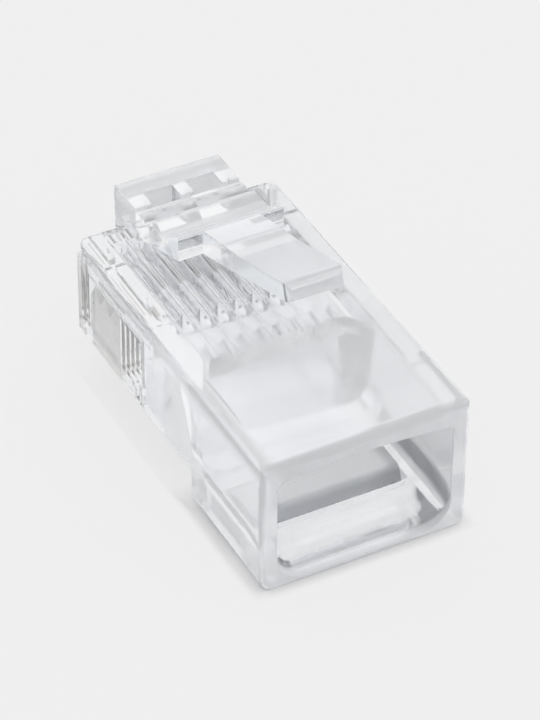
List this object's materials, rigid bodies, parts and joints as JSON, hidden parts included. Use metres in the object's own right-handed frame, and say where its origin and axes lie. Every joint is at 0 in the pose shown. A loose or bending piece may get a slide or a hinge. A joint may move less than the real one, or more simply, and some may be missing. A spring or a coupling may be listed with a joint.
{
  "type": "modular plug",
  "caption": "Clear eight-way modular plug for network cable, with a sprung latch, insulation-piercing contacts and crimp-in cable clamps.",
  "frame": {"origin": "middle of the footprint: halfway across the width, halfway from the cable entry face to the front of the key, at the underside of the deep rear box", "axes": "+X across the width with contact 8 on the +X side, +Y from the cable entry to the nose, +Z from the contact side to the latch side"},
  "size_m": [0.0116, 0.022, 0.0138],
  "materials": {
    "clear_plastic": "clear moulded polycarbonate",
    "latch_plastic": "clear moulded polycarbonate, lightly frosted",
    "contact_metal": "gold flash on phosphor bronze"
  },
  "bodies": {
    "housing": {"housing": "clear_plastic"},
    "latch": {"latch": "latch_plastic"},
    "jacket_clamp": {"jacket_clamp": "clear_plastic"},
    "conductor_clamp": {"conductor_clamp": "clear_plastic"},
    "contact_1": {"contact_1": "contact_metal"},
    "contact_2": {"contact_2": "contact_metal"},
    "contact_3": {"contact_3": "contact_metal"},
    "contact_4": {"contact_4": "contact_metal"},
    "contact_5": {"contact_5": "contact_metal"},
    "contact_6": {"contact_6": "contact_metal"},
    "contact_7": {"contact_7": "contact_metal"},
    "contact_8": {"contact_8": "contact_metal"}
  },
  "joints": [
    {"name": "latch_flex", "type": "hinge", "parent": "housing", "child": "latch", "pos_m": [0, 0.00775, 0.00915], "axis": [1, 0, 0], "range_deg": [0, 19], "stiffness_Nm_per_rad": 0.2},
    {"name": "jacket_crimp", "type": "hinge", "parent": "housing", "child": "jacket_clamp", "pos_m": [0, -0.0078, 0.00045], "axis": [1, 0, 0], "range_deg": [0, 18]},
    {"name": "conductor_crimp", "type": "slide", "parent": "housing", "child": "conductor_clamp", "axis": [0, 0, 1], "range_m": [0, 0.0008]},
    {"name": "contact_1_crimp", "type": "slide", "parent": "housing", "child": "contact_1", "axis": [0, 0, 1], "range_m": [0, 0.0007]},
    {"name": "contact_2_crimp", "type": "slide", "parent": "housing", "child": "contact_2", "axis": [0, 0, 1], "range_m": [0, 0.0007]},
    {"name": "contact_3_crimp", "type": "slide", "parent": "housing", "child": "contact_3", "axis": [0, 0, 1], "range_m": [0, 0.0007]},
    {"name": "contact_4_crimp", "type": "slide", "parent": "housing", "child": "contact_4", "axis": [0, 0, 1], "range_m": [0, 0.0007]},
    {"name": "contact_5_crimp", "type": "slide", "parent": "housing", "child": "contact_5", "axis": [0, 0, 1], "range_m": [0, 0.0007]},
    {"name": "contact_6_crimp", "type": "slide", "parent": "housing", "child": "contact_6", "axis": [0, 0, 1], "range_m": [0, 0.0007]},
    {"name": "contact_7_crimp", "type": "slide", "parent": "housing", "child": "contact_7", "axis": [0, 0, 1], "range_m": [0, 0.0007]},
    {"name": "contact_8_crimp", "type": "slide", "parent": "housing", "child": "contact_8", "axis": [0, 0, 1], "range_m": [0, 0.0007]}
  ]
}
